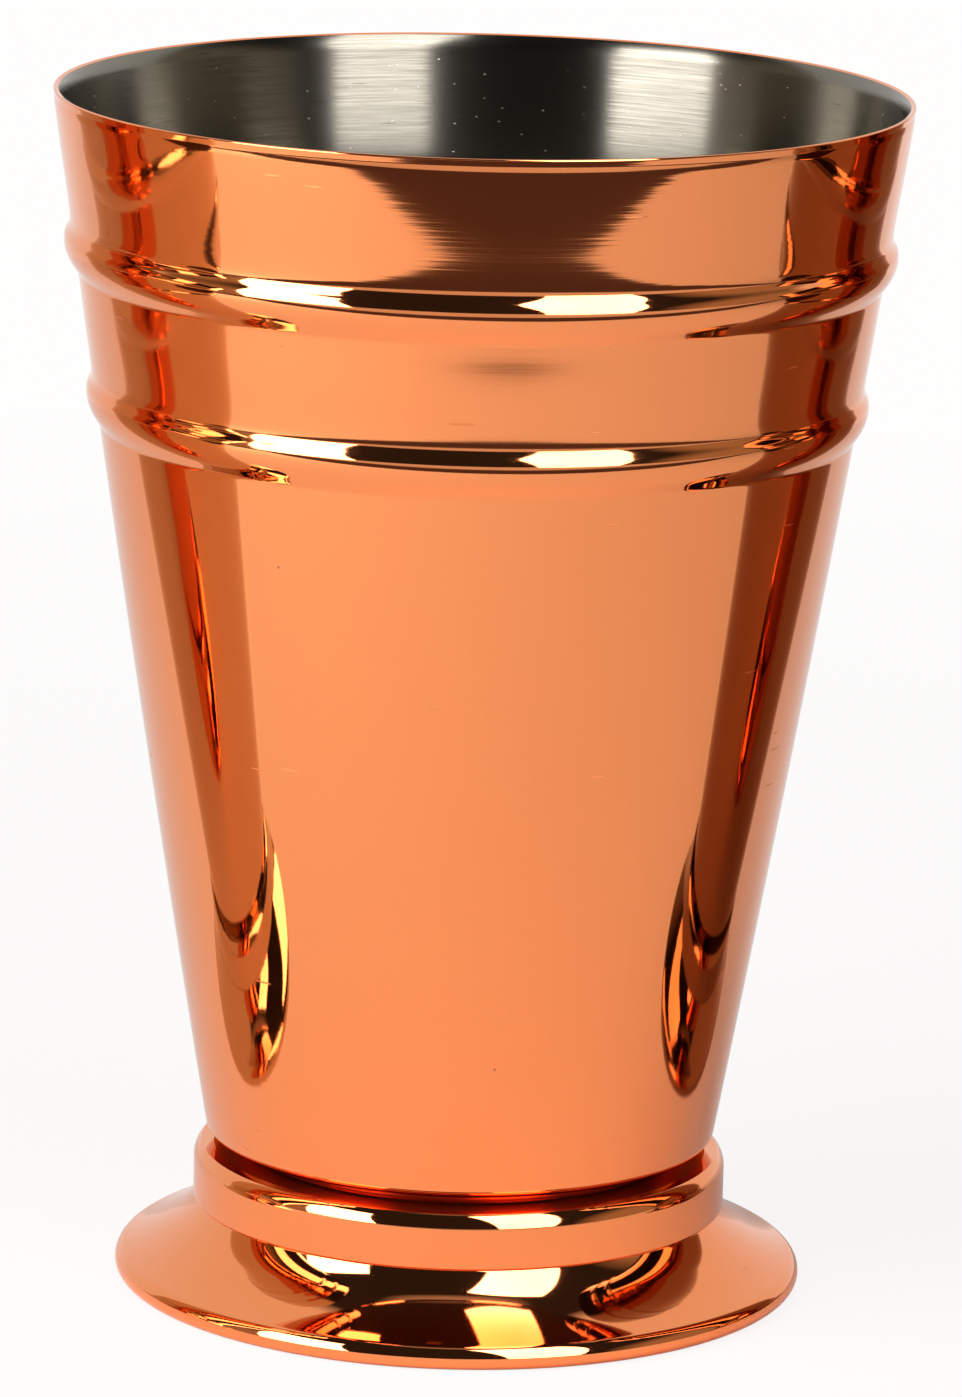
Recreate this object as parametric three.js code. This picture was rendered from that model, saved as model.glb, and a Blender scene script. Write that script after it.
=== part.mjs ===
// Footed julep cup: a thin tapered shell with two rolled beads, seated on a
// capped collar and a flared foot. All three are sheet pressings, turned about +Z.
// Millimetres. The foot stands on z = 0.

import * as THREE from "three";

// Cup shell
const cupHeight = 128;
const rimDiameter = 90;
const baseDiameter = 54.2;
const wallBulge = 0.4;
const shellSheet = 0.6;
const rimRound = 0.9;
const baseBend = 0.8;
const beadWidth = 6;
const beadHeight = 1;
const upperBeadBelowRim = 16.7;
const beadPitch = 16.1;

// Pressed-down centre of the shell's floor, which stands on the collar
const seatStep = 1.7;
const seatInset = 3.6;
const seatBend = 0.4;

// Collar
const collarBase = 8.6;
const collarHeight = 5.4;
const collarOverhang = 1.4;
const collarSheet = 0.7;
const bevelWidth = 2.1;
const bevelDrop = 0.8;
const bevelBend = 0.2;

// Foot skirt
const footSpread = 8.3;
const skirtSheet = 0.7;
const skirtClearance = 0.15;
const flareSlope = THREE.MathUtils.degToRad(16);
const hemBend = 0.3;
const lipHeight = 0.5;
const restWidth = 4.3;
const flangeBend = 0.8;
const flangeHoleDiameter = 28;

// Fineness of the turned surfaces
const facets = 48;
const bendStep = THREE.MathUtils.degToRad(30);
const flareStep = THREE.MathUtils.degToRad(8);
const beadSteps = 6;
const bodySteps = 5;
const bandSteps = 2;
const rimSteps = 4;

// Levels and radii that the pieces share
const rimRadius = rimDiameter / 2;
const baseRadius = baseDiameter / 2;
const collarTop = collarBase + collarHeight;
const floorLevel = collarTop + seatStep;
const collarRadius = baseRadius + collarOverhang;
const flangeTop = collarTop - collarSheet;
const footRadius = collarRadius + footSpread;
const rimEdge = cupHeight - rimRound;
const upperBead = cupHeight - upperBeadBelowRim;
const lowerBead = upperBead - beadPitch;

const point = (r, z) => new THREE.Vector2(r, z);

// Evenly spaced values from start up to, but without, end
function spread(start, end, steps) {
  return Array.from({ length: steps }, (_, i) => start + ((end - start) * i) / steps);
}

// Arc about a centre, from one angle to another
function arc(centre, radius, from, to, step = bendStep) {
  const steps = Math.max(2, Math.ceil(Math.abs(to - from) / step));
  return new THREE.ArcCurve(centre.x, centre.y, radius, from, to, to < from).getPoints(steps);
}

// Bend of a given radius in the corner between two straight runs
function bend(before, corner, after, radius) {
  const back = before.clone().sub(corner).normalize();
  const ahead = after.clone().sub(corner).normalize();
  const halfAngle = Math.acos(back.dot(ahead)) / 2;
  const start = corner.clone().addScaledVector(back, radius / Math.tan(halfAngle));
  const centre = back.clone().add(ahead).setLength(radius / Math.sin(halfAngle)).add(corner);
  const from = start.clone().sub(centre).angle();
  const turn = Math.sign(ahead.cross(back)) * (Math.PI - 2 * halfAngle);
  return arc(centre, radius, from, from + turn);
}

// The other face of a sheet: the path moved square to itself by the sheet's thickness
function otherFace(path, thickness) {
  const normals = path.slice(1).map((end, i) => {
    const run = end.clone().sub(path[i]).normalize();
    return point(run.y, -run.x);
  });
  return path.map((place, i) => {
    const first = normals[Math.max(i - 1, 0)];
    const second = normals[Math.min(i, normals.length - 1)];
    const shift = first.clone().add(second).multiplyScalar(thickness / (1 + first.dot(second)));
    return place.clone().sub(shift);
  });
}

function turned(name, profile, colour, roughness) {
  const geometry = new THREE.LatheGeometry(profile, facets).rotateX(Math.PI / 2);
  const material = new THREE.MeshStandardMaterial({ color: colour, roughness, metalness: 1 });
  const mesh = new THREE.Mesh(geometry, material);
  mesh.name = name;
  return mesh;
}

// Radius of the shell's outside: a taper that swells a little, plus the beads' round ridges
function wallRadius(z) {
  const rise = (z - floorLevel) / (rimEdge - floorLevel);
  const taper = baseRadius + (rimRadius - baseRadius) * rise;
  const swell = 4 * wallBulge * rise * (1 - rise);
  return taper + swell + beadRise(z - upperBead) + beadRise(z - lowerBead);
}

function beadRise(offset) {
  const ridge = (beadWidth ** 2 / 4 + beadHeight ** 2) / (2 * beadHeight);
  return Math.max(0, Math.sqrt(Math.max(0, ridge ** 2 - offset ** 2)) - ridge + beadHeight);
}

function cupShell() {
  const halfBead = beadWidth / 2;
  const heights = [
    ...spread(floorLevel, lowerBead - halfBead, bodySteps),
    ...spread(lowerBead - halfBead, lowerBead + halfBead, beadSteps),
    ...spread(lowerBead + halfBead, upperBead - halfBead, bandSteps),
    ...spread(upperBead - halfBead, upperBead + halfBead, beadSteps),
    ...spread(upperBead + halfBead, rimEdge, bandSteps),
    rimEdge,
  ];
  const wall = heights.map((z) => point(wallRadius(z), z));

  const centre = point(0, collarTop);
  const seatEdge = point(baseRadius - seatInset, collarTop);
  const stepTop = point(baseRadius - seatInset, floorLevel);
  const outside = [
    centre,
    ...bend(centre, seatEdge, stepTop, seatBend + shellSheet),
    ...bend(seatEdge, stepTop, wall[0], seatBend),
    ...bend(stepTop, wall[0], wall[1], baseBend + shellSheet),
    ...wall.slice(1),
  ];
  const inside = otherFace(outside, shellSheet);

  // Dubbed edge: half an ellipse over the sheet, highest at the cup's full height
  const outerEdge = outside.at(-1);
  const innerEdge = inside.at(-1);
  const rim = spread(0, Math.PI, rimSteps).slice(1).map((angle) => {
    const across = outerEdge.clone().lerp(innerEdge, (1 - Math.cos(angle)) / 2);
    return point(across.x, THREE.MathUtils.lerp(across.y, cupHeight, Math.sin(angle)));
  });
  return turned("cup_shell", [...outside, ...rim, ...inside.reverse()], 0xe0946a, 0.08);
}

function footCollar() {
  const foot = point(collarRadius, collarBase);
  const bandTop = point(collarRadius, collarTop - bevelDrop);
  const bevelTop = point(collarRadius - bevelWidth, collarTop);
  const centre = point(0, collarTop);
  const outside = [foot, ...bend(foot, bandTop, bevelTop, bevelBend + collarSheet), bevelTop, centre];
  const inside = otherFace(outside, collarSheet).reverse();
  return turned("foot_collar", [...inside, ...outside], 0xd98a60, 0.08);
}

function footSkirt() {
  const quarter = Math.PI / 2;
  const hemRadius = hemBend + skirtSheet;
  const hemCentre = point(footRadius - hemRadius, hemRadius);
  const shoulderCentre = point(footRadius - hemRadius, hemRadius + lipHeight);
  const shoulder = arc(shoulderCentre, hemRadius, 0, quarter - flareSlope);

  // Hollow flare: an arc that leaves the shoulder at its slope and meets the collar's lower edge
  const flareStart = shoulder.at(-1);
  const flareEnd = point(collarRadius - collarSheet - skirtClearance, collarBase);
  const chord = flareEnd.clone().sub(flareStart);
  const towardsCentre = point(Math.sin(flareSlope), Math.cos(flareSlope));
  const flareRadius = chord.lengthSq() / (2 * chord.dot(towardsCentre));
  const flareCentre = flareStart.clone().addScaledVector(towardsCentre, flareRadius);
  const from = flareStart.clone().sub(flareCentre).angle();
  const to = flareEnd.clone().sub(flareCentre).angle();
  const flare = arc(flareCentre, flareRadius, from, to, flareStep);

  // Above the flare the pressing runs straight on and turns in flat beneath the collar's top
  const topSlope = 2 * Math.atan2(chord.y, -chord.x) - flareSlope;
  const coneTop = point(flareEnd.x - (flangeTop - collarBase) / Math.tan(topSlope), flangeTop);
  const flangeEdge = point(flangeHoleDiameter / 2, flangeTop);
  const outside = [
    point(footRadius - hemRadius - restWidth, 0),
    ...arc(hemCentre, hemRadius, -quarter, 0),
    ...shoulder,
    ...flare.slice(1),
    ...bend(flareEnd, coneTop, flangeEdge, flangeBend + skirtSheet),
    flangeEdge,
  ];
  const inside = otherFace(outside, skirtSheet).reverse();
  return turned("foot_skirt", [...outside, ...inside, outside[0]], 0xd0825a, 0.08);
}

const cup = new THREE.Group();
cup.add(cupShell(), footCollar(), footSkirt());

export default cup;
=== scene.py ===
import math
import bpy
import numpy as np
from mathutils import Matrix, Vector


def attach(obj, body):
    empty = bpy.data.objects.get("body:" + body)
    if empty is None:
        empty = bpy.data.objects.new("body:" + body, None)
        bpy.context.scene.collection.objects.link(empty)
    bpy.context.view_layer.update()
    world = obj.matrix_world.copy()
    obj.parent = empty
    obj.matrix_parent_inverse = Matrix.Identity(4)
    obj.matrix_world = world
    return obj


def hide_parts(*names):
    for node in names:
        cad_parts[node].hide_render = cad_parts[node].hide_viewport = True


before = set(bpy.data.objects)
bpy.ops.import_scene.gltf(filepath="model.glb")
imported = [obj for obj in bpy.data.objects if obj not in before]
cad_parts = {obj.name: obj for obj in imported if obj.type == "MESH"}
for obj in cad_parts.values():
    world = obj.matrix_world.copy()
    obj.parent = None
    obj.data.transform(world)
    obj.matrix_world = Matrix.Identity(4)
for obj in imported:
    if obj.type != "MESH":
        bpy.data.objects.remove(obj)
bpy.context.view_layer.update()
mm = 0.001
quarterTurn = 0.25
print("frame loaded:", ", ".join(sorted(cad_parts)))


# Straight run: start plus even shares of the way to end; a share close to each end keeps
# the shading of the bend beside it from spreading along the run
def straightRun(start, end, count, guard=0.05):
    start = np.asarray(start, dtype=float)
    way = np.asarray(end, dtype=float) - start
    close = min(guard / np.hypot(*way), 0.3)
    share = np.concatenate([[close], np.linspace(close, 1 - close, count + 2)[1:-1], [1 - close]])
    return start + share[:, None] * way


# Arc: centre plus radius times the cosine and sine of angles spread evenly between two
def arcRun(centre, radius, fromDegrees, toDegrees, count):
    angle = np.radians(np.linspace(fromDegrees, toDegrees, count))
    return np.asarray(centre, dtype=float) + radius * np.stack([np.cos(angle), np.sin(angle)], axis=1)


# Bend: the arc of a given radius that touches both runs at a corner
def bendRun(before, corner, after, radius, count):
    before, corner, after = (np.asarray(p, dtype=float) for p in (before, corner, after))
    back = (before - corner) / np.hypot(*(before - corner))
    ahead = (after - corner) / np.hypot(*(after - corner))
    half = math.acos(float(np.clip(back @ ahead, -1, 1))) / 2
    middle = back + ahead
    centre = corner + middle / np.hypot(*middle) * radius / math.sin(half)
    start = corner + back * radius / math.tan(half) - centre
    turn = math.copysign(180 - 2 * math.degrees(half), ahead[0] * back[1] - ahead[1] * back[0])
    first = math.degrees(math.atan2(start[1], start[0]))
    return arcRun(centre, radius, first, first + turn, count)


# Other face of a sheet: each profile point moved square to the profile by the sheet's thickness,
# where square is the mean of the two runs that meet at the point
def otherFace(profile, sheet):
    run = np.diff(profile, axis=0)
    run /= np.linalg.norm(run, axis=1, keepdims=True)
    square = np.stack([run[:, 1], -run[:, 0]], axis=1)
    first = np.vstack([square[:1], square])
    second = np.vstack([square, square[-1:]])
    return profile - (first + second) * sheet / (1 + np.sum(first * second, axis=1, keepdims=True))


# Turned surface: each profile point (r, z) goes once round the axis, x = r cos a, y = r sin a;
# neighbouring rows and columns of that grid join as quads, and a row on the axis is one point
def turnedSurface(name, profile, columns, materials, rowMaterial=None, stand=(0.0, 0.0), ring=False):
    profile = np.asarray(profile, dtype=float) * mm
    onAxis = profile[:, 0] < 1e-9
    angle = np.arange(columns) * 2 * np.pi / columns
    size = np.where(onAxis, 1, columns)
    first = np.concatenate([[0], np.cumsum(size)[:-1]])
    column = np.arange(columns)
    index = first[:, None] + np.where(onAxis[:, None], 0, column[None, :])
    grid = np.stack([profile[:, :1] * np.cos(angle) + stand[0] * mm,
                     profile[:, :1] * np.sin(angle) + stand[1] * mm,
                     np.repeat(profile[:, 1:], columns, axis=1)], axis=2)
    keep = np.where(onAxis[:, None], column[None, :] == 0, True)
    points = grid[keep]
    lower, upper = index, np.roll(index, -1, axis=0)
    lowPole, highPole = onAxis, np.roll(onAxis, -1)
    if not ring:
        lower, upper, lowPole, highPole = lower[:-1], upper[:-1], lowPole[:-1], highPole[:-1]
    aside, above = np.roll(lower, -1, axis=1), np.roll(upper, -1, axis=1)
    whole = ~(lowPole | highPole)
    quads = np.stack([lower, aside, above, upper], axis=2)[whole].reshape(-1, 4)
    firstFan = np.stack([lower, above, upper], axis=2)[lowPole].reshape(-1, 3)
    lastFan = np.stack([lower, aside, upper], axis=2)[highPole].reshape(-1, 3)
    faces = quads.tolist() + firstFan.tolist() + lastFan.tolist()
    rows = np.concatenate([np.flatnonzero(kind) for kind in (whole, lowPole, highPole)])
    rows = np.repeat(rows, columns)
    mesh = bpy.data.meshes.new(name)
    mesh.from_pydata(points.tolist(), [], faces)
    for material in materials:
        mesh.materials.append(material)
    if rowMaterial is not None:
        mesh.polygons.foreach_set("material_index", np.asarray(rowMaterial, dtype=np.int32)[rows])
    mesh.polygons.foreach_set("use_smooth", np.ones(len(faces), dtype=bool))
    mesh.update()
    piece = bpy.data.objects.new(name, mesh)
    bpy.context.scene.collection.objects.link(piece)
    return piece


# Adds a node and sets its properties
def addNode(tree, kind, **values):
    node = tree.nodes.new(kind)
    for key, value in values.items():
        setattr(node, key, value)
    return node


# Links an output to an input socket, or sets a plain value on it
def join(tree, value, socket):
    if isinstance(value, bpy.types.NodeSocket):
        tree.links.new(value, socket)
    else:
        socket.default_value = value


# Joins a node's inputs by name, with an underscore for each space
def feed(tree, node, **inputs):
    for key, value in inputs.items():
        join(tree, value, node.inputs[key.replace("_", " ")])
    return node


# New material with its node tree and its shader
def newMaterial(name):
    material = bpy.data.materials.new(name)
    material.use_nodes = True
    tree = material.node_tree
    shader = tree.nodes["Principled BSDF"]
    return material, tree, shader


# Noise on coordinates that are multiplied by a stretch
def stretchedNoise(tree, place, stretch, detail, roughness=0.5):
    mapping = addNode(tree, "ShaderNodeMapping")
    feed(tree, mapping, Vector=place, Scale=stretch)
    noise = addNode(tree, "ShaderNodeTexNoise")
    feed(tree, noise, Vector=mapping.outputs["Vector"], Scale=1.0, Detail=detail, Roughness=roughness)
    return noise.outputs["Fac"]


# Straight line from (low, outLow) to (high, outHigh), held at both ends
def remap(tree, value, low, high, outLow=0.0, outHigh=1.0):
    node = addNode(tree, "ShaderNodeMapRange", clamp=True)
    feed(tree, node, Value=value, From_Min=low, From_Max=high, To_Min=outLow, To_Max=outHigh)
    return node.outputs["Result"]


# First colour changed towards the second, or blended with it, by a share
def mixColour(tree, share, first, second, blend="MIX"):
    node = addNode(tree, "ShaderNodeMix", data_type="RGBA", blend_type=blend)
    for number, value in ((0, share), (6, first), (7, second)):
        join(tree, value, node.inputs[number])
    return node.outputs[2]


# One sum, difference, product or the like of two values
def combine(tree, operation, first, second):
    node = addNode(tree, "ShaderNodeMath", operation=operation)
    for socket, value in zip(node.inputs, (first, second)):
        join(tree, value, socket)
    return node.outputs["Value"]


# Height above the table
def heightOf(tree, place):
    return feed(tree, addNode(tree, "ShaderNodeSeparateXYZ"), Vector=place).outputs["Z"]


copperLook = {
    "colour": (0.902, 0.299, 0.111, 1.0),
    "colourWarm": (0.912, 0.287, 0.103, 1.0),
    "speckColour": (0.30, 0.085, 0.03, 1.0),
    "clouds": (22.0, 22.0, 14.0),
    "cloudRange": (0.3, 0.7),
    "warmRange": (0.35, 0.65),
    "roughness": (0.030, 0.052),
    "dullBand": ((0.0935, 0.0985, 0.036), (0.1085, 0.1125, 0.024)),
    "satin": 0.20,
    # painted shade: the next two colours darken and redden the copper in the recess under the cup and tint
    # its reflection's edge dark red
    "recessPaintedShade": (0.72, 0.60, 0.50, 1.0),
    "recessShadeEdgeTint": (0.56, 0.28, 0.14, 1.0),
    "anisotropy": 0.5,
    "polishLines": (40.0, 40.0, 2400.0),
    "polishDepth": 2.6e-6,
    "polishBand": (0.1105, 0.1145, 0.38),
    "specks": ((210.0, 210.0, 210.0), 0.035, 0.72),
    "speckShare": 0.8,
    "nicks": ((60.0, 60.0, 700.0), 0.09, 0.62),
    "nickRoughness": 0.35,
}

steelLook = {
    "colour": (0.126, 0.115, 0.095, 1.0),
    "colourLight": (0.176, 0.163, 0.136, 1.0),
    # painted sheen: the steel's colour where the wall is seen askance
    "paintedSheenColour": (0.215, 0.197, 0.163, 1.0),
    "askance": (0.14, 0.48),
    # painted shade: the steel's colour is left dark from about 106 mm up and made 2.8 times lighter below
    # about 86 mm
    "shadeLiftBelow": (0.086, 0.106),
    "shadeLiftGain": (2.8, 2.8, 2.85, 1.0),
    # dark nicks, then light nicks whose colour is a painted glint
    "nickAndGlintColours": ((0.03, 0.026, 0.02, 1.0), (0.75, 0.73, 0.68, 1.0)),
    "roughness": (0.18, 0.25),
    "anisotropy": 0.85,
    "brushLines": (190.0, 190.0, 5200.0),
    "scratches": (60.0, 60.0, 6500.0),
    "brushDepth": 1.7e-6,
    "lineRange": (0.36, 0.64),
    "darkNicks": ((75.0, 75.0, 2000.0), 0.10, 0.05),
    "darkShare": 0.8,
    "glintNicks": ((420.0, 420.0, 1700.0), 0.07, 0.55),
    "glintRoughness": 0.45,
}


# Marks: small spots with a soft edge round random points of a stretched lattice, kept only where the
# cell's own random number is high
def marks(tree, place, stretch, size, rarity):
    mapping = addNode(tree, "ShaderNodeMapping")
    feed(tree, mapping, Vector=place, Scale=stretch)
    cells = addNode(tree, "ShaderNodeTexVoronoi")
    feed(tree, cells, Vector=mapping.outputs["Vector"], Scale=1.0)
    split = addNode(tree, "ShaderNodeSeparateColor")
    feed(tree, split, Color=cells.outputs["Color"])
    spot = remap(tree, cells.outputs["Distance"], size * 0.6, size, 1.0, 0.0)
    kept = remap(tree, split.outputs["Red"], rarity, rarity + 0.01)
    return combine(tree, "MULTIPLY", spot, kept)


# Copper: fine lines round the cup bend the mirror a little, most above the upper bead; it is duller above
# the lower bead, most between the two; a few dark specks, and short nicks that lie along the lines
def polishedCopper(name, satin=0.0):
    look = copperLook
    material, tree, shader = newMaterial(name)
    place = addNode(tree, "ShaderNodeTexCoord").outputs["Object"]
    height = heightOf(tree, place)
    broad = stretchedNoise(tree, place, look["clouds"], 2.0)
    lines = stretchedNoise(tree, place, look["polishLines"], 2.0)
    (low, high, gain), (falls, ends, loss) = look["dullBand"]
    dull = remap(tree, height, low, high, satin, satin + gain)
    dull = combine(tree, "SUBTRACT", dull, remap(tree, height, falls, ends, 0.0, loss))
    rough = combine(tree, "ADD", dull, remap(tree, broad, *look["cloudRange"], *look["roughness"]))
    specks = marks(tree, place, *look["specks"])
    nicks = marks(tree, place, *look["nicks"])
    rough = combine(tree, "ADD", rough, combine(tree, "MULTIPLY", nicks, look["nickRoughness"]))
    colour = mixColour(tree, remap(tree, broad, *look["warmRange"]), look["colour"], look["colourWarm"])
    dark = combine(tree, "MULTIPLY", specks, look["speckShare"])
    colour = mixColour(tree, dark, colour, look["speckColour"])
    # with satin, the colour is darkened and reddened and the reflection's edge tinted dark red: painted
    # shade in the recess under the cup
    if satin:
        colour = mixColour(tree, 1.0, colour, look["recessPaintedShade"], "MULTIPLY")
        feed(tree, shader, Specular_Tint=look["recessShadeEdgeTint"])
    bump = addNode(tree, "ShaderNodeBump")
    low, high, least = look["polishBand"]
    feed(tree, bump, Height=lines, Strength=remap(tree, height, low, high, least, 1.0),
         Distance=look["polishDepth"])
    along = addNode(tree, "ShaderNodeTangent", direction_type="RADIAL", axis="Z")
    feed(tree, shader, Base_Color=colour, Metallic=1.0, Roughness=rough, Normal=bump.outputs["Normal"],
         Anisotropic=look["anisotropy"], Anisotropic_Rotation=quarterTurn,
         Tangent=along.outputs["Tangent"])
    return material


# Steel: brush lines round the cup with finer, longer scratches among them, and short nicks, some dark
# and some lighter and rougher, whose light colour is a painted glint; a painted sheen makes it brighter
# where it is seen askance, and as painted shade the colour stays dark from about 106 mm up and is
# 2.8 times lighter below about 86 mm
def brushedSteel():
    look = steelLook
    material, tree, shader = newMaterial("brushed_steel")
    place = addNode(tree, "ShaderNodeTexCoord").outputs["Object"]
    brush = stretchedNoise(tree, place, look["brushLines"], 4.0, 0.65)
    fine = stretchedNoise(tree, place, look["scratches"], 2.0, 0.6)
    lines = combine(tree, "MULTIPLY", combine(tree, "ADD", brush, fine), 0.5)
    cut = marks(tree, place, *look["darkNicks"])
    glintSpots = marks(tree, place, *look["glintNicks"])
    colour = mixColour(tree, remap(tree, lines, *look["lineRange"]), look["colour"], look["colourLight"])
    # painted sheen: the colour brightens where the wall is seen askance
    facing = addNode(tree, "ShaderNodeLayerWeight").outputs["Facing"]
    colour = mixColour(tree, remap(tree, facing, *look["askance"]), colour, look["paintedSheenColour"])
    # painted shade: the colour stays dark above about 106 mm and is 2.8 times lighter below about 86 mm
    shadeLiftShare = remap(tree, heightOf(tree, place), *look["shadeLiftBelow"], 1.0, 0.0)
    colour = mixColour(tree, shadeLiftShare, colour, look["shadeLiftGain"], "MULTIPLY")
    dark = combine(tree, "MULTIPLY", cut, look["darkShare"])
    colour = mixColour(tree, dark, colour, look["nickAndGlintColours"][0])
    # light, rougher nicks: their roughness catches light, and their light colour is a painted glint
    colour = mixColour(tree, glintSpots, colour, look["nickAndGlintColours"][1])
    rough = remap(tree, lines, *look["lineRange"], look["roughness"][1], look["roughness"][0])
    rough = combine(tree, "ADD", rough, combine(tree, "MULTIPLY", glintSpots, look["glintRoughness"]))
    bump = addNode(tree, "ShaderNodeBump")
    feed(tree, bump, Height=lines, Strength=1.0, Distance=look["brushDepth"])
    along = addNode(tree, "ShaderNodeTangent", direction_type="RADIAL", axis="Z")
    feed(tree, shader, Base_Color=colour, Metallic=1.0, Roughness=rough, Normal=bump.outputs["Normal"],
         Anisotropic=look["anisotropy"], Anisotropic_Rotation=quarterTurn,
         Tangent=along.outputs["Tangent"])
    return material


copper = polishedCopper("mirror_copper")
# satin copper: rougher copper with painted shade, for the recess under the cup
satin = polishedCopper("satin_copper_painted_shade", copperLook["satin"])
steel = brushedSteel()
print("finishes made")

cupShell = {
    "height": 128.0,
    "rimRadius": 45.0,
    "wallTop": 44.965,
    "rimDepth": 0.75,
    "rimRound": 0.16,
    "rimLean": 9.0,
    "rimBevel": 21.0,
    "rimInside": 1.7,
    "baseRadius": 27.1,
    "floorLevel": 15.7,
    "swell": 0.4,
    "sheet": 0.6,
    "baseBend": 1.4,
    "seatLevel": 14.0,
    "seatRadius": 23.5,
    "seatBend": (1.0, 0.4),
    "seatMargin": 1.2,
    "crests": ((111.55, 1.04), (95.42, 0.93)),
    "slopeAbove": ((0.0, 0.0), (0.5, 0.15), (0.85, 0.22), (1.6, 0.775), (2.35, 0.22), (2.7, 0.135),
                   (3.15, 0.047), (3.6, 0.026), (4.4, 0.011), (5.2, 0.004), (6.0, 0.0)),
    "slopeBelow": ((0.0, 0.0), (1.9, 0.48), (2.6, 0.46), (2.85, 0.0)),
    "lean": ((98.5, 0.0), (101.0, 0.006), (102.6, 0.003), (104.0, -0.005), (105.3, -0.0095),
             (106.4, -0.0125), (107.2, -0.006), (107.9, 0.004), (108.6, 0.006), (109.0, 0.0),
             (115.0, 0.0), (116.5, 0.006), (118.2, 0.0115), (120.5, 0.010), (122.3, 0.005),
             (123.8, 0.001), (125.2, -0.006), (126.4, -0.019), (126.55, -0.03), (126.65, -0.09),
             (127.25, -0.18)),
    "wallFoot": 2.2,
    "beadGuard": 0.2,
    "rimBand": 1.2,
    "wallRows": (32, 60, 22, 60, 24, 12),
    "satinShadedRows": 19,
    "fullRows": 36,
    "columns": 240,
}


# Running sum of a slope that is read from a short table: how far the profile has moved sideways
def slopeSum(table, count=1200):
    table = np.asarray(table)
    step = np.linspace(table[0, 0], table[-1, 0], count)
    slope = np.interp(step, table[:, 0], table[:, 1])
    return step, np.concatenate([[0], np.cumsum((slope[1:] + slope[:-1]) / 2 * np.diff(step))])


# Bead: full height at the crest, less the slope's running sum on the way to its edge
def beadRise(offset, table, height):
    step, fall = slopeSum(table)
    return np.interp(offset, step, height * (1 - fall / fall[-1]), right=0.0)


# Wall: the radius grows evenly from base to rim and swells a little between; the beads stand out,
# and the bands beside them lean by the small slopes that rolling the beads left
def wallRadius(z, part):
    rise = (z - part["floorLevel"]) / (part["height"] - part["rimDepth"] - part["floorLevel"])
    radius = part["baseRadius"] + (part["wallTop"] - part["baseRadius"]) * rise
    radius += 4 * part["swell"] * rise * (1 - rise)
    for crest, stand in part["crests"]:
        above = beadRise(z - crest, part["slopeAbove"], stand)
        below = beadRise(crest - z, part["slopeBelow"], stand)
        radius += np.where(z >= crest, above, below)
    step, shift = slopeSum(part["lean"])
    return radius + np.interp(z, step, shift, left=0.0)


# Shell: a flat seat, two bends up to the floor's level, the base's bend and the wall, then the same path
# one sheet further in; rows lie close together on the beads and at the rim
def shellProfile(part):
    rimEdge = part["height"] - part["rimDepth"]
    stops = [part["floorLevel"] + part["wallFoot"]]
    for crest, _ in reversed(part["crests"]):
        stops += [crest - part["slopeBelow"][-1][0] - part["beadGuard"], crest + part["slopeAbove"][-1][0]]
    stops += [rimEdge - part["rimBand"], rimEdge]
    spans = zip(stops, stops[1:], part["wallRows"])
    z = np.concatenate([np.linspace(low, high, rows, endpoint=False) for low, high, rows in spans])
    z = np.append(z, rimEdge)
    wall = np.stack([wallRadius(z, part), z], axis=1)
    seat, level, inset = part["seatLevel"], part["floorLevel"], part["seatRadius"]
    foot = (float(wallRadius(np.array([level]), part)[0]), level)
    outside = np.vstack([
        [[0.0, seat]],
        straightRun((0, seat), (inset - part["seatMargin"], seat), 3),
        bendRun((0, seat), (inset, seat), (inset, level), part["seatBend"][0], 7),
        bendRun((inset, seat), (inset, level), foot, part["seatBend"][1], 6),
        bendRun((inset, level), foot, wall[0], part["baseBend"], 14),
        wall,
    ])
    inside = otherFace(outside, part["sheet"])
    inside[0, 0] = 0.0
    # the inside takes every second row of the wall, and runs straight behind the rim
    inside = np.vstack([inside[:part["fullRows"]], inside[part["fullRows"]::2]])
    inside = inside[inside[:, 1] < part["height"] - part["rimInside"]]
    # rim: a short land that leans as the wall does, a small round, and a bevel down to the inside
    small, lean, bevel = part["rimRound"], part["rimLean"], part["rimBevel"]
    crest = arcRun((part["rimRadius"] - small, part["height"] - small), small, -lean, 90 + bevel, 14)
    inner, run, fall = inside[-1], inside[-1] - inside[-4], math.tan(math.radians(bevel))
    gain = run[0] / run[1]
    level = crest[-1, 1] - (crest[-1, 0] - inner[0] + gain * inner[1]) * fall
    level /= 1 - gain * fall
    corner = (inner[0] + gain * (level - inner[1]), level)
    land = straightRun(outside[-1], crest[0], 2)
    edge = np.vstack([land, crest, straightRun(crest[-1], corner, 2), [corner]])
    return outside, edge, inside


outside, edge, inside = shellProfile(cupShell)
shellLoop = np.vstack([outside, edge, inside[::-1]])
shellRows = np.zeros(len(shellLoop) - 1)  # copper, then steel inside and satin under the base
shellRows[-len(inside):] = 1
# the satin rows under the base carry painted shade
shellRows[:cupShell["satinShadedRows"]] = 2
cup = turnedSurface("cup_shell_turned", shellLoop, cupShell["columns"], (copper, steel, satin), shellRows)
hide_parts("cup_shell")
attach(cup, "root")
print("shell made:", len(cup.data.polygons), "faces")

footCollar = {
    "bottom": 8.6,
    "top": 14.0,
    "edgeTop": 14.35,
    "ringRadius": 26.35,
    "dishRadius": 24.2,
    "radius": 28.5,
    "sheet": 0.7,
    "roll": 2.2,
    "rollEnd": 50.0,
    "edgeRound": (0.12, 0.8),
    "satinShadedRows": 11,
    "columns": 240,
}


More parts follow.
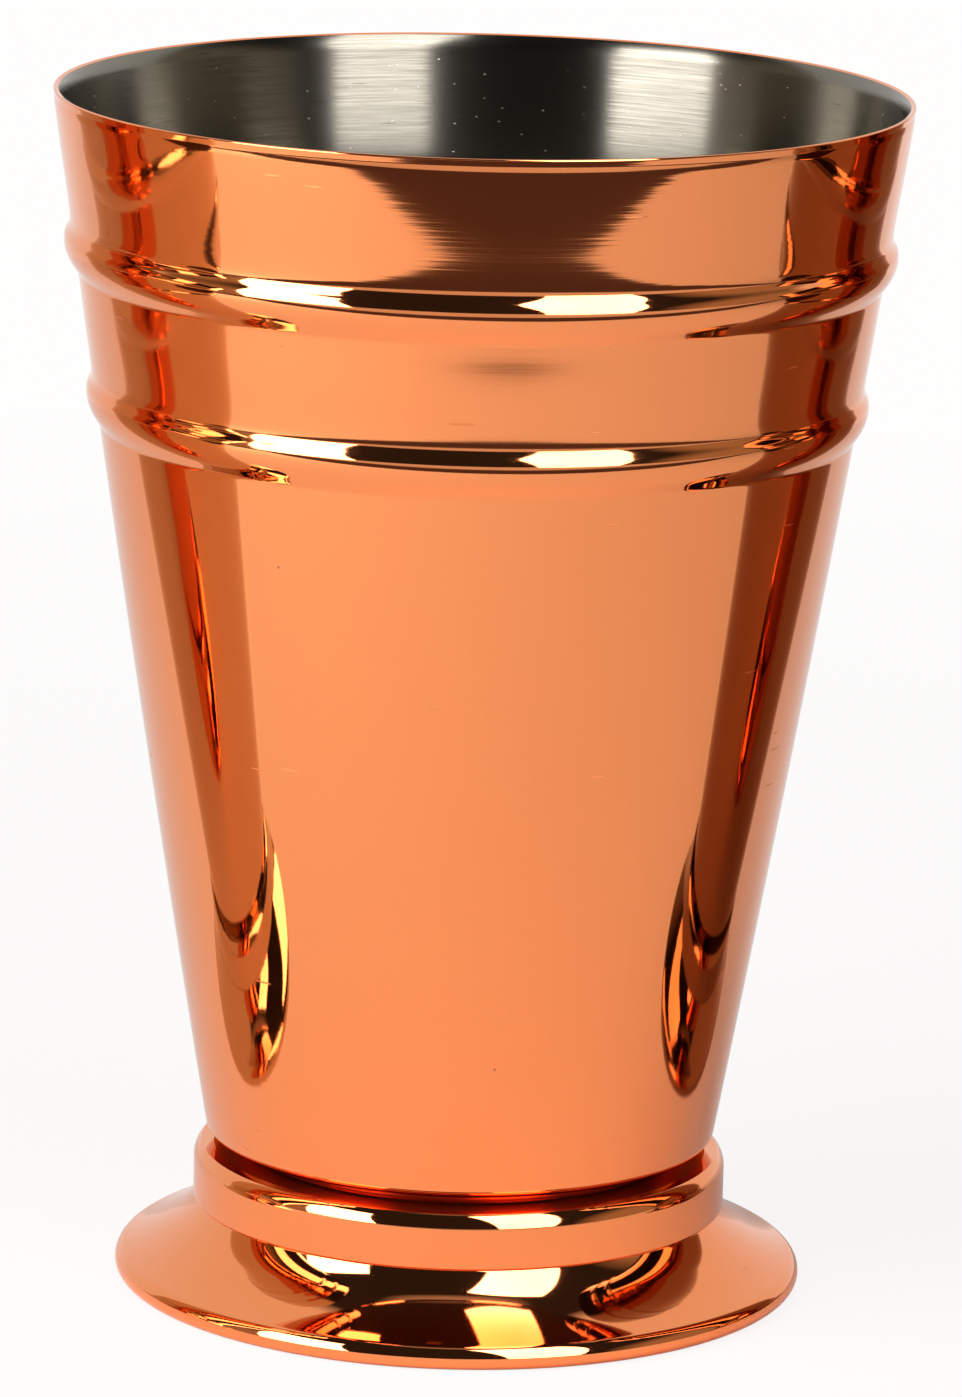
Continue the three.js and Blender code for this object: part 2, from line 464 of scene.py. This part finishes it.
# Collar: a straight band, a roll over part of a circle, a small round at its edge, a slight dip whose
# outer ring is polished too, and the flat that the cup is welded to; the sheet's other face follows the
# same path with a wider round
def collarProfile(part, edgeRound):
    radius, top, bottom, edge = part["radius"], part["top"], part["bottom"], part["edgeTop"]
    roll, last = part["roll"], part["rollEnd"]
    rise = math.sin(math.radians(last))
    centre = np.array([radius - roll, edge - edgeRound * (1 - rise) - roll * rise])
    bend = arcRun(centre, roll, 0, last, 16)
    edgeCentre = centre + (bend[-1] - centre) * (1 - edgeRound / roll)
    crown = arcRun(edgeCentre, edgeRound, last, 90, 6)[1:]
    dish = np.array([part["dishRadius"], top])
    share = (crown[-1, 0] - part["ringRadius"]) / (crown[-1, 0] - dish[0])
    ring = crown[-1] + share * (dish - crown[-1])
    return np.vstack([
        [(radius, bottom)],
        straightRun((radius, bottom), bend[0], 4),
        bend,
        crown,
        straightRun(crown[-1], ring, 1),
        [ring],
        straightRun(ring, dish, 3),
        straightRun(dish, (0, top), 3),
        [(0.0, top)],
    ])


collarOut = collarProfile(footCollar, footCollar["edgeRound"][0])
collarIn = otherFace(collarProfile(footCollar, footCollar["edgeRound"][1]), footCollar["sheet"])
collarIn[-1, 0] = 0.0
collarLoop = np.vstack([collarIn[::-1], collarOut])
collarRows = np.zeros(len(collarLoop) - 1)  # copper, then satin under the cup
# the satin rows on the collar's flat under the cup carry painted shade
collarRows[-footCollar["satinShadedRows"]:] = 1
collar = turnedSurface("foot_collar_turned", collarLoop, footCollar["columns"], (copper, satin), collarRows)
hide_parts("foot_collar")
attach(collar, "root")
print("collar made")

footSkirt = {
    "footRadius": 36.8,
    "hem": 1.22,
    "shoulder": 1.55,
    "shoulderEnd": 68.0,
    "flare": ((0.0, 22.0), (6.2, 39.0), (9.57, 62.0)),
    "flareTop": (28.35, 8.5),
    "coneFoot": (27.65, 8.58),
    "coneSlope": 60.0,
    "flangeTop": 13.3,
    "flangeHole": 14.0,
    "flangeBend": 1.5,
    "restWidth": 4.08,
    "sheet": 0.7,
    "columns": 240,
}


# Flare: a run whose slope is read from a short table of distance and degrees, stretched a little so
# that it ends under the collar's lower edge; inside the collar the pressing goes up and turns in flat
def skirtProfile(part):
    hem, foot = part["hem"], part["footRadius"]
    shoulder = arcRun((foot - part["shoulder"], hem), part["shoulder"], 0, part["shoulderEnd"], 18)[1:]
    table = np.asarray(part["flare"])
    step = np.linspace(0, table[-1, 0], 60)
    slope = np.radians(np.interp(step, table[:, 0], table[:, 1]))
    middle = (slope[1:] + slope[:-1]) / 2
    way = np.cumsum(np.stack([-np.cos(middle), np.sin(middle)], axis=1) * step[1], axis=0)
    flare = shoulder[-1] + way * (np.asarray(part["flareTop"]) - shoulder[-1]) / way[-1]
    base, flangeEdge = np.asarray(part["coneFoot"]), (part["flangeHole"], part["flangeTop"])
    reach = (part["flangeTop"] - base[1]) / math.tan(math.radians(part["coneSlope"]))
    coneTop = (base[0] - reach, part["flangeTop"])
    bend = bendRun(base, coneTop, flangeEdge, part["flangeBend"], 8)
    outside = np.vstack([
        [(foot - hem - part["restWidth"], 0.0)],
        straightRun((foot - hem - part["restWidth"], 0.0), (foot - hem, 0.0), 2),
        arcRun((foot - hem, hem), hem, -90, 0, 12),
        shoulder,
        flare,
        [base],
        bend,
        straightRun(bend[-1], flangeEdge, 2),
        [flangeEdge],
    ])
    return outside, otherFace(outside, part["sheet"])


skirtOut, skirtIn = skirtProfile(footSkirt)
skirtLoop = np.vstack([skirtOut, skirtIn[::-1]])
skirt = turnedSurface("foot_skirt_turned", skirtLoop, footSkirt["columns"], (copper,), ring=True)
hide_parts("foot_skirt")
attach(skirt, "root")
print("skirt made")

stageSet = {
    "floorHalf": 3.0,
    "floorColour": (0.86, 0.855, 0.85, 1.0),
    "seenColour": (1.0, 0.99, 0.985, 1.0),
    "seenWhite": (0.1, 0.5, 0.86, 1.0),
    "tableFades": (0.08, 0.5),
    "tableFront": (-0.260, 0.138),
    "gapDepth": 0.25,
    "paleDepth": 1.9,
    "gapColour": (0.085, 0.06, 0.055, 1.0),
    "paleColour": (0.75, 0.74, 0.73, 1.0),
    "edgeBlur": (0.002, 0.02, 0.1),
    "sideStands": ((-104.3, -9.9), (104.2, 12.2)),
    # painted shade: the right reflector's colour is much darker than the left's
    "sideShadedColours": ((0.60, 0.41, 0.24, 1.0), (0.24, 0.11, 0.045, 1.0)),
    "sideRoughness": 0.04,
    "sideColumns": 120,
    "sideCuts": (-12, -8, 12, 60),
    "lampRadiance": (3.35, 1.6),
    "lampSize": (0.60, 1.00),
    "lampReaches": (0.55, 0.75),
    "lampHeights": (0.44, 0.51),
    "lampTilt": 30.0,
    "lampBearings": (-57.0, 40.0),
    "cardRadiance": 9.5,
    "cardReach": 0.9,
    "cardCentre": (0.0, 0.0, 0.09),
    "cards": (((-65.0, -3.0), (-34.0, -3.0), (-44.5, 43.5), (-77.0, 43.5)),
              ((17.5, -3.0), (41.0, -3.0), (74.0, 68.0), (9.0, 68.0))),
    "cardShares": ((0.9, 1.0, 1.0, 1.0), (0.72, 0.8, 0.8, 1.0)),
    "roomDark": (0.026, 0.0255, 0.025, 1.0),
    "roomSide": (0.38, 0.325, 0.235, 1.0),
    "roomTop": (0.42, 0.41, 0.40, 1.0),
    "roomBack": (0.9, 0.893, 0.887, 1.0),
    "roomFill": (0.35, 0.347, 0.345, 1.0),
    "roomSeen": (1.0, 0.992, 0.985, 1.0),
    "sideFrom": (0.76, 0.9),
    "topFrom": (0.965, 0.985),
    "backFrom": (0.20, 0.30),
}


# First shader changed to the second by a share
def joinShader(tree, share, first, second):
    node = addNode(tree, "ShaderNodeMixShader")
    feed(tree, node, Fac=share)
    tree.links.new(first, node.inputs[1])
    tree.links.new(second, node.inputs[2])
    return node.outputs["Shader"]


# Even glow of one colour
def glow(tree, colour, strength=1.0):
    light = addNode(tree, "ShaderNodeEmission")
    return feed(tree, light, Color=colour, Strength=strength).outputs["Emission"]


# Floor: pale to every ray; seen by the camera it is close to white but keeps the shadow, and mirror rays
# meet a table that ends in front, then a dark gap, then a pale ground
def floorMaterial():
    material, tree, shader = newMaterial("pale_floor")
    tree.nodes.remove(shader)
    place = addNode(tree, "ShaderNodeTexCoord").outputs["Object"]
    start, slant = stageSet["tableFront"]
    across = addNode(tree, "ShaderNodeVectorMath", operation="DOT_PRODUCT")
    tree.links.new(place, across.inputs[0])
    across.inputs[1].default_value = (-slant, 1.0, 0.0)
    depth = across.outputs["Value"]
    crisp, soft, faint = stageSet["edgeBlur"]
    gapEnd, paleEnd = start - stageSet["gapDepth"], start - stageSet["paleDepth"]
    onTable = remap(tree, depth, start - crisp, start + crisp)
    inGap = remap(tree, depth, gapEnd - soft, gapEnd + soft)
    farOff = remap(tree, depth, paleEnd - faint, paleEnd, 1.0, 0.0)
    path = addNode(tree, "ShaderNodeLightPath").outputs
    pale = feed(tree, addNode(tree, "ShaderNodeBsdfDiffuse"), Color=stageSet["floorColour"]).outputs["BSDF"]
    dark = glow(tree, stageSet["gapColour"])
    ground = joinShader(tree, farOff, glow(tree, stageSet["paleColour"]), dark)
    beyond = joinShader(tree, inGap, ground, dark)
    far = remap(tree, depth, *stageSet["tableFades"])
    table = joinShader(tree, far, pale, glow(tree, stageSet["roomBack"]))
    mirrored = joinShader(tree, onTable, beyond, table)
    away = addNode(tree, "ShaderNodeVectorMath", operation="LENGTH")
    tree.links.new(place, away.inputs[0])
    white = remap(tree, away.outputs["Value"], *stageSet["seenWhite"])
    seen = joinShader(tree, white, pale, glow(tree, stageSet["seenColour"]))
    plain = joinShader(tree, path["Is Camera Ray"], pale, seen)
    both = joinShader(tree, path["Is Glossy Ray"], plain, mirrored)
    tree.links.new(both, tree.nodes["Material Output"].inputs["Surface"])
    return material


# Floor: one square about the origin
def addFloor():
    half = stageSet["floorHalf"]
    corners = [(-half, -half, 0), (half, -half, 0), (half, half, 0), (-half, half, 0)]
    mesh = bpy.data.meshes.new("floor")
    mesh.from_pydata(corners, [], [(0, 1, 2, 3)])
    mesh.materials.append(floorMaterial())
    floor = bpy.data.objects.new("floor", mesh)
    bpy.context.scene.collection.objects.link(floor)


# Keeps a prop from every ray but a mirror's
def onlyMirrored(thing):
    thing.visible_camera = False
    thing.visible_diffuse = False
    thing.visible_shadow = False
    thing.visible_transmission = False


# Side reflectors: turned copper columns that only mirror rays meet, for the dark bands at the sides; as
# painted shade the right column's colour is much darker than the left's
def addSideReflectors():
    flareEnd, collarEnd, wallStart, insideEnd = stageSet["sideCuts"]
    outline = np.vstack([skirtOut[:flareEnd], collarOut[:collarEnd], outside[wallStart:], edge,
                         inside[:insideEnd:-1]])
    for name, stand, colour in zip(("left", "right"), stageSet["sideStands"], stageSet["sideShadedColours"]):
        material, tree, shader = newMaterial("side_reflector_" + name)
        feed(tree, shader, Base_Color=colour, Metallic=1.0, Roughness=stageSet["sideRoughness"])
        column = turnedSurface(material.name, outline, stageSet["sideColumns"], (material,), stand=stand)
        onlyMirrored(column)


# Direction from a bearing off the front and a height angle, both in radians
def rayOf(bearing, rise):
    level = np.cos(rise)
    return np.stack([np.sin(bearing) * level, -np.cos(bearing) * level, np.sin(rise)], axis=-1)


# Reflected cards: flat four-cornered panels; each corner is a bearing and a height angle seen from the
# cup, on the plane that stands square to the mean direction
def addCards():
    material, tree, shader = newMaterial("card_white")
    tree.nodes.remove(shader)
    share = addNode(tree, "ShaderNodeAttribute", attribute_name="glow_share").outputs["Fac"]
    white = glow(tree, (1.0, 1.0, 1.0, 1.0), combine(tree, "MULTIPLY", share, stageSet["cardRadiance"]))
    tree.links.new(white, tree.nodes["Material Output"].inputs["Surface"])
    for number, corners in enumerate(stageSet["cards"]):
        angle = np.radians(np.asarray(corners))
        ray = rayOf(angle[:, 0], angle[:, 1])
        square = rayOf(*angle.mean(axis=0))
        points = ray * (stageSet["cardReach"] / (ray @ square))[:, None] + stageSet["cardCentre"]
        mesh = bpy.data.meshes.new("card_%d" % number)
        mesh.from_pydata(points.tolist(), [], [(0, 1, 2, 3)])
        shares = mesh.attributes.new("glow_share", "FLOAT", "POINT")
        shares.data.foreach_set("value", stageSet["cardShares"][number])
        mesh.materials.append(material)
        card = bpy.data.objects.new(mesh.name, mesh)
        bpy.context.scene.collection.objects.link(card)
        onlyMirrored(card)


# Lamps: soft panels that stand round the cup and tilt down to it; energy is radiance times pi times area
def addLamps():
    width, length = stageSet["lampSize"]
    lean = math.radians(stageSet["lampTilt"])
    for number, bearing in enumerate(stageSet["lampBearings"]):
        lamp = bpy.data.lights.new("softbox_%d" % number, "AREA")
        lamp.shape = "RECTANGLE"
        lamp.size = width
        lamp.size_y = length
        lamp.energy = stageSet["lampRadiance"][number] * math.pi * width * length
        holder = bpy.data.objects.new(lamp.name, lamp)
        turn = math.radians(bearing)
        reach, level = stageSet["lampReaches"][number], stageSet["lampHeights"][number]
        holder.location = (math.sin(turn) * reach, -math.cos(turn) * reach, level)
        holder.rotation_euler = (math.pi / 2 - lean, 0.0, turn)
        holder.visible_glossy = False
        bpy.context.scene.collection.objects.link(holder)


# World: white to the camera and a plain fill to the rest; mirror rays meet a dark room in front, dim sides,
# a pale back and a small glow straight above, told apart by direction
def setWorld():
    world = bpy.data.worlds.new("studio")
    bpy.context.scene.world = world
    world.use_nodes = True
    tree = world.node_tree
    background = tree.nodes["Background"]
    direction = addNode(tree, "ShaderNodeTexCoord").outputs["Generated"]
    split = addNode(tree, "ShaderNodeSeparateXYZ")
    feed(tree, split, Vector=direction)
    sideways = combine(tree, "ABSOLUTE", split.outputs["X"], 0.0)
    aside = remap(tree, sideways, *stageSet["sideFrom"])
    above = remap(tree, split.outputs["Z"], *stageSet["topFrom"])
    behind = remap(tree, split.outputs["Y"], *stageSet["backFrom"])
    path = addNode(tree, "ShaderNodeLightPath").outputs
    front = mixColour(tree, aside, stageSet["roomDark"], stageSet["roomSide"])
    front = mixColour(tree, above, front, stageSet["roomTop"])
    mirrored = mixColour(tree, behind, front, stageSet["roomBack"])
    plain = mixColour(tree, path["Is Glossy Ray"], stageSet["roomFill"], mirrored)
    seen = mixColour(tree, path["Is Camera Ray"], plain, stageSet["roomSeen"])
    feed(tree, background, Color=seen, Strength=1.0)


viewSet = {
    "eye": (0.0, -0.82234, 0.24899),
    "focalPixels": 7940.8,
    "imageHeight": 1397,
    "sensor": 36.0,
    "pan": 0.0014,
    "tilt": -0.2222,
    "roll": 0.0250,
}


# Camera: looks along pan and tilt from the eye, then turns about that line by roll
def addCamera():
    data = bpy.data.cameras.new("photo_view")
    data.sensor_fit = "VERTICAL"
    data.sensor_height = viewSet["sensor"]
    data.lens = viewSet["focalPixels"] / viewSet["imageHeight"] * viewSet["sensor"]
    data.clip_start = 0.01
    pan, tilt, roll = viewSet["pan"], viewSet["tilt"], viewSet["roll"]
    forward = Vector((math.sin(pan) * math.cos(tilt), math.cos(pan) * math.cos(tilt), math.sin(tilt)))
    right = forward.cross(Vector((0, 0, 1))).normalized()
    up = right.cross(forward)
    across = right * math.cos(roll) + up * math.sin(roll)
    over = up * math.cos(roll) - right * math.sin(roll)
    matrix = Matrix((across, over, -forward)).transposed().to_4x4()
    matrix.translation = Vector(viewSet["eye"])
    camera = bpy.data.objects.new("photo_view", data)
    camera.matrix_world = matrix
    bpy.context.scene.collection.objects.link(camera)
    bpy.context.scene.camera = camera


addFloor()
addSideReflectors()
addCards()
addLamps()
setWorld()
addCamera()
bpy.context.scene.view_settings.view_transform = "Standard"
print("stage, light and camera set")
